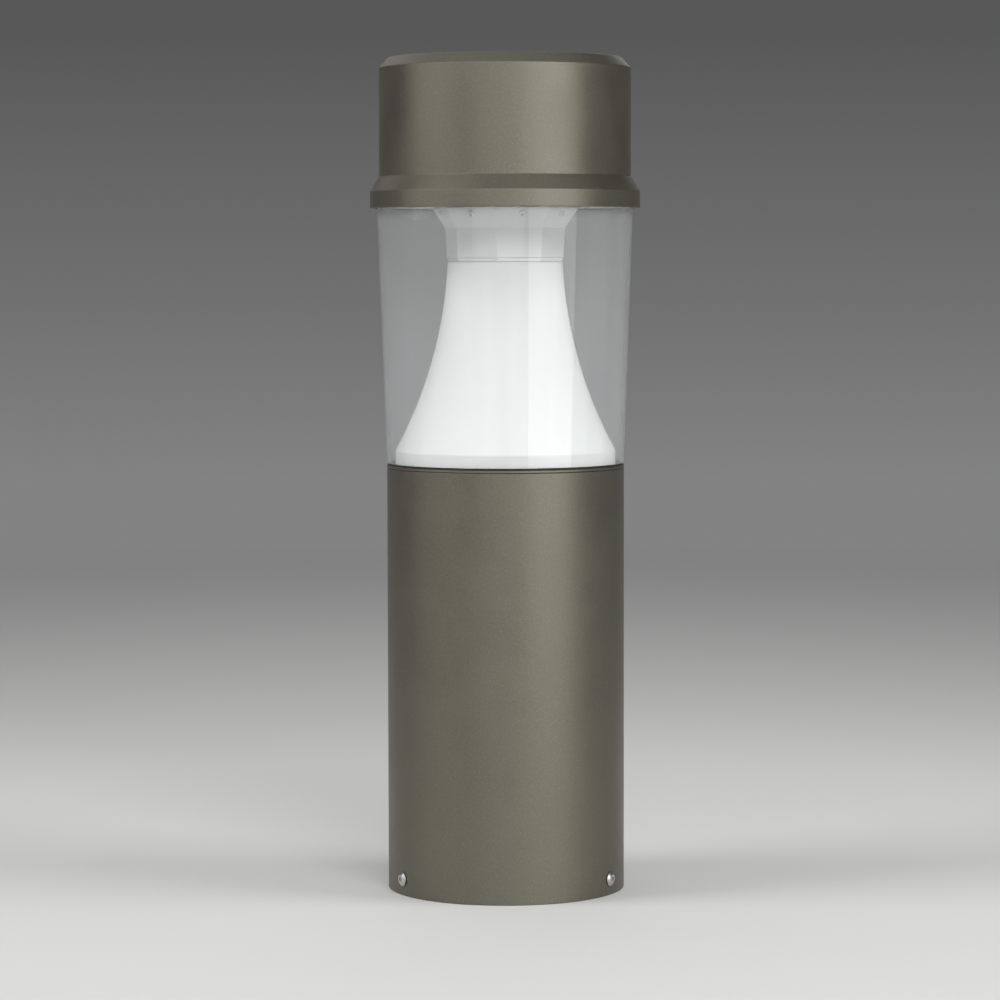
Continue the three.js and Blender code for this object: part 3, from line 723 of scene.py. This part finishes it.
CAN_BOTTOM, CAN_TOP = heights("can_housing")
CAN_BEND = 566.5
CAN_BOTTOM_R, CAN_BEND_R, CAN_TOP_R = 50.3, 51.6, 63.4
CAN_SHEET = 1.5
CAN_PLATE_R = 49.6
CAN_SCREW_Z = 578.7
CAN_SCREW_HOLE_R = 2.1
FLARE_TILT = math.atan((CAN_TOP_R - CAN_BEND_R) * math.cos(HALF_SIDE) / (CAN_TOP - CAN_BEND))
FACETS = [CORNER + 45 * (k + 0.5) for k in range(8)]


def can_plate():
    """The housing's bottom plate, with a small step all round its lower edge."""
    bottom, top = heights("can_plate")
    profile = [(CAN_PLATE_R - 1, bottom), (CAN_PLATE_R, bottom + 1), (CAN_PLATE_R, top - 0.3),
               (CAN_PLATE_R - 0.3, top)]
    holes = rod_holes(bottom - 1, top + 1) + [post(CABLE_HOLE, bottom - 1, top + 1, segments=MEDIUM)]
    return cut(octagon(profile, 1.6, closed=False), holes)


def flare_corner(z):
    """The flare's corner radius at a height."""
    return CAN_BEND_R + (CAN_TOP_R - CAN_BEND_R) * (z - CAN_BEND) / (CAN_TOP - CAN_BEND)


def on_facet(mesh, bearing, out=0.0):
    """Sets a shape that points along +Z square on the flare's facet."""
    apothem = flare_corner(CAN_SCREW_Z) * math.cos(HALF_SIDE)
    matrix = Matrix.Rotation(math.radians(bearing), 4, "Z") @ Matrix.Translation((0, -apothem, CAN_SCREW_Z))
    matrix = matrix @ Matrix.Rotation(math.pi / 2 + FLARE_TILT, 4, "X")
    return moved(mesh, matrix @ Matrix.Translation((0, 0, out)))


def facet_holes():
    return [on_facet(post(CAN_SCREW_HOLE_R, -14, 3), bearing) for bearing in FACETS]


def can_housing():
    """Sheet with eight sides that widen a little upwards to a bend, and a flared facet above each."""
    wall = CAN_SHEET / math.cos(HALF_SIDE)
    profile = [
        (CAN_BOTTOM_R - wall, CAN_BOTTOM, 0.3), (CAN_BOTTOM_R, CAN_BOTTOM, 0.4), (CAN_BEND_R, CAN_BEND, 1.6),
        (CAN_TOP_R, CAN_TOP, 0.3), (CAN_TOP_R - wall * 1.2, CAN_TOP, 0.3),
        (CAN_BEND_R - wall, CAN_BEND + 0.5, 0.6)]
    return cut(octagon(profile, 1.0, closed=True), facet_holes())


piece("reflector", reflector(), "white_paint")
piece("can_plate", can_plate(), "white_paint")
piece("can_housing", can_housing(), "white_paint", angle=20)
# Each can screw's socket takes black_plastic as painted shade inside its recess; the head is white paint.
for i, bearing in enumerate(FACETS):
    shape = screw(shank=1.8, length=8, head=3.2, height=1.8, socket=1.75, floor=0.1)
    piece(f"can_screw_{i + 1}", on_facet(shape, bearing, GAP), "white_paint", "black_plastic")

# ---- tie rods and nuts --------------------------------------------------

NUT_FLATS = 13
UPPER_THREAD = 584  # where the rods' upper thread starts


def nut(bottom, top):
    bore = threaded(ROD_R + 0.15, bottom - 1, top + 1, ROD_PITCH, 0.3, [(bottom, top)])
    return cut(hexagon(NUT_FLATS, bottom, top), [bore])


for i, place in enumerate(ROD_PLACES):
    bottom, top = heights(f"tie_rod_{i + 1}")
    stretches = [(bottom + 1, DECK_BOTTOM + 3), (UPPER_THREAD, top - 0.8)]
    rod = threaded(ROD_R, bottom, top, ROD_PITCH, 0.4, stretches)
    piece(f"tie_rod_{i + 1}", moved(rod, place=place), "stainless_steel")
    for node in (f"rod_nut_lower_{i + 1}", f"rod_nut_upper_{i + 1}"):
        piece(node, moved(nut(*heights(node)), place=place), "stainless_steel")

# ---- light engine -------------------------------------------------------

PLATE_R, SPIGOT_BOTTOM, PLATE_TOP = span("led_plate")
PLATE_BOTTOM = PLATE_TOP - 6
SPIGOT_INNER = 48
SEAT = PLATE_TOP + GAP
LEAD_HOLE = Vector((75, 0, 0))
LEAD_HOLE_R = 3.6
BOARD_INNER = 66
LED_RING = 81
CAP_RING = 80.0


def led_plate():
    """A disc with an eight-sided spigot under it, which the housing's screws enter."""
    disc = turned([
        (0, PLATE_BOTTOM), (PLATE_R, PLATE_BOTTOM, 0.6), (PLATE_R, PLATE_TOP, 0.8), (0, PLATE_TOP)],
        FINE, closed=False)
    gap = (CAN_SHEET + GAP) / math.cos(HALF_SIDE) / math.cos(FLARE_TILT)
    top = PLATE_BOTTOM + 1
    spigot = octagon([
        (SPIGOT_INNER, SPIGOT_BOTTOM, 0.4), (flare_corner(SPIGOT_BOTTOM) - gap, SPIGOT_BOTTOM, 0.6),
        (flare_corner(top) - gap, top), (SPIGOT_INNER, top)], 1.0, closed=True)
    holes = [post(CABLE_HOLE, PLATE_BOTTOM - 1, PLATE_TOP + 1, segments=MEDIUM),
             moved(post(LEAD_HOLE_R, PLATE_BOTTOM - 1, PLATE_TOP + 1), place=LEAD_HOLE)]
    return cut(join(disc, [spigot]), holes + rod_holes(PLATE_BOTTOM - 1, PLATE_TOP + 1) + facet_holes())


def led_board():
    """The ring board, its white packages, their yellow phosphor and a pad at each end of a package."""
    outer, _, top = span("led_board")
    bottom = top - 1.6
    parts = [painted(washer(BOARD_INNER, outer, bottom, top, 0.2), 0)]
    for k in range(24):
        turn = 15 * (k + 0.5)
        package = block((5, 5, 0.8), (0, -LED_RING, bottom - 0.3), 0.2, 2)
        parts.append(painted(moved(package, bearing=turn), 0))
        phosphor = turned([
            (0, bottom - 0.74), (1.9, bottom - 0.72, 0.05), (1.9, bottom - 0.4), (0, bottom - 0.4)],
            SMALL, closed=False)
        parts.append(painted(moved(phosphor, place=around(turn, LED_RING)), 1))
        for side in (-1, 1):
            pad = block((1.2, 4, 0.2), (side * 3.3, -LED_RING, bottom), 0.05, 1)
            parts.append(painted(moved(pad, bearing=turn), 2))
    return together(parts)


def standoff(bottom, top):
    """A hexagonal post with a threaded bore in its top for the head's screw."""
    bore = threaded(3.3, top - 14, top + 1, 1.0, 0.3, [(top - 13, top)])
    return cut(hexagon(NUT_FLATS, bottom, top), [bore])


piece("led_plate", led_plate(), "plate_aluminium")
piece("led_board", led_board(), "board_white", "phosphor", "stainless_steel")
for i, bearing in enumerate(FRONT_THREE):
    node = f"standoff_{i + 1}"
    piece(node, moved(standoff(*heights(node)), place=around(bearing, CAP_RING)), "stainless_steel")

# ---- driver, terminals and wiring ---------------------------------------

DRIVER_X, DRIVER_Y = 50.0, centre("driver").y  # half its length, and its middle
EAR_HOLE_X = 55
GROUND_PLACE = (-70, -8, 0)


def driver():
    """A drawn case with a waist under a rolled lid, ribs on the lid and a slotted ear at each end."""
    tray = block((99.4, 33.4, 17), (0, DRIVER_Y, SEAT + 8.5), 1.4)
    lid = block((100, 34, 11), (0, DRIVER_Y, SEAT + 22.5), 2.2, 4)
    waist = block((98.6, 32.6, 3), (0, DRIVER_Y, SEAT + 17), 0.4)
    ribs = [block((72, 2.2, 1.2), (0, DRIVER_Y + y, SEAT + 27.6), 0.5) for y in (-9, -4.5, 0, 4.5, 9)]
    ears = []
    for side in (-1, 1):
        ear = block((14, 14, 2.5), (side * 53, DRIVER_Y, SEAT + 1.25), 0.5)
        slot = moved(post(2.3, SEAT - 1, SEAT + 4), place=(side * EAR_HOLE_X, DRIVER_Y, 0))
        mouth = block((6, 3.4, 6), (side * 59, DRIVER_Y, SEAT + 1.25), 0.1, 1)
        ears.append(cut(ear, [slot, mouth]))
    return together([tray, waist, lid, *ribs, *ears])


def terminal_block():
    """Three poles, each with a wire entry on both sides and a slotted screw in a well."""
    low, high = corners("terminal_block")
    size = high - low
    middle = (high + low) / 2
    body = block(tuple(size), middle, 0.8)
    pitch = size.x / 3
    tools = []
    parts = []
    for k in (-1, 0, 1):
        x = middle.x + pitch * k
        tools.append(block((pitch * 0.6, 6, 5), (x, high.y - 0.5, low.z + 7.5), 0.5))
        tools.append(block((pitch * 0.6, 6, 5), (x, low.y + 0.5, low.z + 7.5), 0.5))
        tools.append(moved(post(3.4, high.z - 2.4, high.z + 1, segments=MEDIUM), place=(x, middle.y, 0)))
        head = moved(post(2.9, high.z - 3.4, high.z - 0.9, 0.4, MEDIUM), place=(x, middle.y, 0))
        slot = block((7, 0.8, 1.6), (x, middle.y, high.z - 1), 0.1, 1)
        parts.append(painted(cut(head, [slot]), 1))
    for k in (-0.5, 0.5):
        tools.append(block((0.9, size.y + 2, 3), (middle.x + pitch * k, middle.y, high.z), 0.2, 1))
    return together([painted(cut(body, tools), 0), *parts])


def plate_bushing():
    low, high = corners("plate_bushing")
    return turned([(3.7, low.z, 0.6), (8.2, low.z, 0.4), (8.2, SEAT), (12, SEAT, 0.4), (12, high.z, 1.2),
                   (3.7, high.z, 0.8)], MEDIUM)


def supply_inlet():
    """A round socket that opens downwards, with a flange, grip flutes and three pins."""
    low, high = corners("supply_inlet")
    flange = DECK_BOTTOM - GAP
    floor_z = low.z + 16
    body = turned([
        (0, floor_z), (9, floor_z, 0.4), (9, low.z, 0.4), (12, low.z, 0.6), (12, flange - 3, 0.6),
        (14, flange - 3, 0.5), (14, flange, 0.4), (8.2, flange), (8.2, high.z, 0.4), (0, high.z)],
        MEDIUM, closed=False)
    flutes = [moved(post(0.8, low.z + 3, low.z + 28, 0.3), place=around(30 * k, 12.4)) for k in range(12)]
    body = cut(body, flutes)
    pins = [painted(moved(post(1.1, low.z + 4, low.z + 16.5, 0.4), place=around(b + 30, 4.6)), 1)
            for b in FRONT_THREE]
    return together([painted(body, 0), *pins])


TERMINAL_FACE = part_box("terminal_block")[1].y / MM + GAP
DRIVER_END = DRIVER_X + GAP
# Each lead's radius, its sheath and the points that its middle passes.
LEADS = {
    "supply_lead": (3.4, "black_cable", [
        (-20, TERMINAL_FACE, 602), (-20, TERMINAL_FACE + 5, 602), (-18, -34, 605), (-11, -18, 612),
        (-3, -5, 613), (0, 0, 606), (0, 0, 598), (0, 0, 584), (0, 0, 480), (0, 0, 390),
        (0, 0, DECK_TOP + GAP)]),
    "driver_lead": (2.2, "black_cable", [
        (-DRIVER_END, DRIVER_Y - 10, 612), (-DRIVER_END - 4, DRIVER_Y - 10, 612), (-58, 42, 610),
        (-56, 20, 606), (-50, -10, 604), (-42, -32, 603), (-40, TERMINAL_FACE + 5, 602),
        (-40, TERMINAL_FACE, 602)]),
    "led_lead": (2.0, "red_cable", [
        (DRIVER_END, DRIVER_Y - 10, 612), (DRIVER_END + 4, DRIVER_Y - 10, 612), (58, 42, 611), (57, 24, 607),
        (64, 8, 606), (73, 1, 601), (75, 0, 594), (75, 0, PLATE_BOTTOM)]),
    "ground_lead": (1.6, "green_cable", [
        (-47, TERMINAL_FACE, 600), (-47, TERMINAL_FACE + 4, 600), (-51, -36, 600), (-60, -26, 598),
        (-67, -17, 596), (-69, -13.2, 595.5)]),
}

piece("driver", driver(), "driver_case")
for i, side in enumerate((-1, 1)):
    shape = screw(shank=2, length=2.5, head=3.8, height=2.4, socket=1.7)
    place = (side * EAR_HOLE_X, DRIVER_Y, SEAT + 2.8)
    piece(f"driver_screw_{i + 1}", moved(shape, place=place), "stainless_steel", "socket_painted_shade")
piece("terminal_block", terminal_block(), "terminal_plastic", "stainless_steel")
piece("plate_bushing", plate_bushing(), "black_rubber")
piece("supply_inlet", supply_inlet(), "black_plastic", "stainless_steel")
for name, (radius, sheath, points) in LEADS.items():
    piece(name, tube(points, radius), sheath)
ground_slot = block((12, 1.0, 2), (0, 0, SEAT + 3.4), 0.1, 1)
ground_screw = cut(post(4.5, SEAT, SEAT + 3.2, 0.7, MEDIUM), [ground_slot])
piece("ground_screw", moved(ground_screw, place=GROUND_PLACE), "stainless_steel")

# ---- lens ---------------------------------------------------------------

LENS_TOP_R, LENS_BOTTOM, LENS_TOP = span("lens")
LENS_TAPER = 0.035
LENS_BOTTOM_R = LENS_TOP_R - LENS_TAPER * (LENS_TOP - LENS_BOTTOM)
LENS_WALL = 3.0


def lens():
    profile = [
        (LENS_BOTTOM_R - LENS_WALL, LENS_BOTTOM, 0.5), (LENS_BOTTOM_R, LENS_BOTTOM, 0.5),
        (LENS_TOP_R, LENS_TOP, 0.5), (LENS_TOP_R - LENS_WALL, LENS_TOP, 0.5)]
    return turned(profile, VERY_FINE)


piece("lens", lens(), "clear_lens")

# ---- head ---------------------------------------------------------------

HEAD_SKIRT_R, HEAD_BOTTOM, HEAD_TOP = span("head_cap")
HEAD_WALL_R = 107.5
HEAD_INNER_R = HEAD_WALL_R - 3.5
LEDGE = 594.3
BOSS_R, BOSS_BOTTOM = 12, 699.5
POCKET_R, POCKET_FLOOR = 8.5, 704.7
TRIM_INNER = 97.3
TRIM_SHEET = 1.2
CAP_GASKET_INNER = 105.8


def head_cap():
    """A spun and machined cap: flat roof, chamfer, upright wall, flare and a short skirt."""
    roof = HEAD_TOP - 4
    skirt_inner = HEAD_SKIRT_R - 3.3
    shell = turned([
        (0, roof), (97.8, roof, 1.0), (HEAD_INNER_R, 700.5, 2.0), (HEAD_INNER_R, LEDGE, 0.4),
        (skirt_inner, LEDGE, 0.5), (skirt_inner, HEAD_BOTTOM, 0.4), (HEAD_SKIRT_R, HEAD_BOTTOM, 0.8),
        (HEAD_SKIRT_R, 597.9, 1.6), (HEAD_WALL_R, 610.7, 1.6), (HEAD_WALL_R, 702.5, 1.4),
        (99.5, HEAD_TOP, 1.2), (0, HEAD_TOP)], VERY_FINE, closed=False)
    pocket = [(0, POCKET_FLOOR), (POCKET_R, POCKET_FLOOR), (POCKET_R, HEAD_TOP - 0.7),
              (POCKET_R + 1.4, HEAD_TOP + 0.7), (0, HEAD_TOP + 0.7)]
    places = [around(bearing, CAP_RING) for bearing in FRONT_THREE]
    bosses = [moved(post(BOSS_R, BOSS_BOTTOM, roof + 1, 0.6, MEDIUM), place=place) for place in places]
    pockets = [moved(turned(pocket, MEDIUM, closed=False), place=place) for place in places]
    holes = [moved(post(SCREW_HOLE_R, BOSS_BOTTOM - 1, POCKET_FLOOR + 1), place=place) for place in places]
    return whole_flats(cut(cut(join(shell, bosses), pockets), holes))


def trim_ring():
    """A thin white ring with a low wall that stands up inside the cap's wall."""
    outer, bottom, top = span("trim_ring")
    wall = HEAD_INNER_R - 0.6
    step = bottom + TRIM_SHEET
    return turned([
        (TRIM_INNER, bottom, 0.3), (outer, bottom, 0.3), (outer, step, 0.3), (wall, step, 0.6),
        (wall, top, 0.3), (wall - TRIM_SHEET, top, 0.3), (wall - TRIM_SHEET, step, 0.8),
        (TRIM_INNER, step, 0.3)])


piece("head_cap", head_cap(), "bronze_paint")
piece("trim_ring", trim_ring(), "white_paint")
piece("cap_gasket", washer(CAP_GASKET_INNER, *span("cap_gasket"), 0.6), "black_rubber")
for i, bearing in enumerate(FRONT_THREE):
    bottom, top = heights(f"cap_screw_seal_{i + 1}")
    seal = moved(washer(3.3, 7, bottom, top, 0.4, MEDIUM), place=around(bearing, CAP_RING))
    shape = screw(shank=3, length=16, head=6, height=3.3, socket=2.3)
    piece(f"cap_screw_seal_{i + 1}", seal, "black_rubber")
    piece(f"cap_screw_{i + 1}", moved(shape, place=around(bearing, CAP_RING, top + 0.1)), "stainless_steel",
          "socket_painted_shade")


# ---- backdrop, floor, lights and camera ---------------------------------


def backdrop():
    """A grey backdrop that darkens upwards, as in a studio."""
    world = bpy.data.worlds.new("backdrop")
    world.use_nodes = True
    tree = world.node_tree
    place = tree.nodes.new("ShaderNodeTexCoord")
    split = tree.nodes.new("ShaderNodeSeparateXYZ")
    height = tree.nodes.new("ShaderNodeMapRange")
    ramp = tree.nodes.new("ShaderNodeValToRGB")
    for index, number in zip((1, 2, 3, 4), (-0.1, 0.1, 0.0, 1.0)):
        height.inputs[index].default_value = number
    tree.links.new(place.outputs["Generated"], split.inputs[0])
    tree.links.new(split.outputs["Z"], height.inputs[0])
    tree.links.new(height.outputs[0], ramp.inputs[0])
    tree.links.new(ramp.outputs[0], tree.nodes["Background"].inputs[0])
    stops = ramp.color_ramp.elements
    stops[0].position, stops[1].position = 0.2, 0.82
    for stop, level in zip(stops, (0.225, 0.098)):
        stop.color = (level, level, level * 1.01, 1)
    middle = stops.new(0.455)
    middle.color = (0.163, 0.163, 0.165, 1)
    scene.world = world


def floor():
    """A pale floor disc whose rim fades into the backdrop."""
    radius = 6000
    mesh = turned([(0, -4), (radius, -4), (radius, 0), (0, 0)], 128, closed=False)
    mesh.transform(Matrix.Scale(MM, 4))
    thing = bpy.data.objects.new("floor", mesh)
    scene.collection.objects.link(thing)
    n = finish("pale_floor", (0.6, 0.6, 0.59), 0.75, mottle=0.012, grain=300, depth=0.0001, wear=1.0)
    far = n.new("ShaderNodeVectorMath")
    far.operation = "LENGTH"
    n.set(far, 0, n.place)
    fade = n.ranged(far.outputs["Value"], 0.0, 1.0, 0.8, 3.8)
    rim = n.new("ShaderNodeEmission", Color=(0.225, 0.225, 0.227, 1), Strength=1.0)
    n.blend(fade, n.shader, rim)
    mesh.materials.append(n.material)


def softbox(name, bearing, distance, height, size, radiance, lights="both"):
    """A rectangular lamp that faces the object and that the camera doesn't see. It lights matt surfaces,
    shows in gloss, or both, as with separate lamps and reflector cards in a studio."""
    lamp = bpy.data.lights.new(name, "AREA")
    lamp.shape = "RECTANGLE"
    lamp.size, lamp.size_y = size
    lamp.energy = radiance * math.pi * size[0] * size[1]
    thing = bpy.data.objects.new(name, lamp)
    thing.location = around(bearing, distance, height)
    aim = Vector((0, 0, 0.45)) - thing.location
    thing.rotation_euler = aim.to_track_quat("-Z", "Y").to_euler()
    thing.visible_camera = False
    thing.visible_transmission = False
    thing.visible_diffuse = lights != "gloss"
    thing.visible_glossy = lights != "matt"
    scene.collection.objects.link(thing)


def camera():
    """A long lens a little above the middle of the object, tilted slightly down."""
    data = bpy.data.cameras.new("camera")
    data.lens = 128.1
    data.sensor_width = 36
    thing = bpy.data.objects.new("camera", data)
    tilt = Matrix.Rotation(math.radians(86.24), 4, "X") @ Matrix.Rotation(math.radians(-0.115), 4, "Z")
    thing.matrix_world = Matrix.Translation((-0.0048, -3.051, 0.5343)) @ tilt
    scene.collection.objects.link(thing)
    scene.camera = thing


backdrop()
floor()
softbox("key", 43, 2.4, 1.0, (2.1, 2.1), 1.92, "gloss")
softbox("fill", -66, 2.4, 1.55, (2.6, 2.4), 1.08, "gloss")
softbox("front", -6, 3.6, 1.6, (3.4, 2.8), 1.15, "gloss")
softbox("side", 92, 2.5, 1.2, (1.2, 2.0), 0.15)
softbox("back", 175, 2.8, 2.0, (2.0, 1.8), 0.9)
softbox("back_left", -144, 2.4, 2.3, (1.6, 1.8), 0.6)
softbox("top", -20, 0.5, 2.6, (3.6, 3.6), 0.4)
softbox("main", 13, 2.6, 1.75, (1.6, 0.7), 12.5, "matt")
softbox("left_wash", -74, 2.1, 2.2, (1.2, 1.0), 10.4, "matt")
softbox("right_wash", 74, 2.1, 2.2, (1.2, 1.0), 9.4, "matt")
camera()
scene.view_settings.view_transform = "Standard"
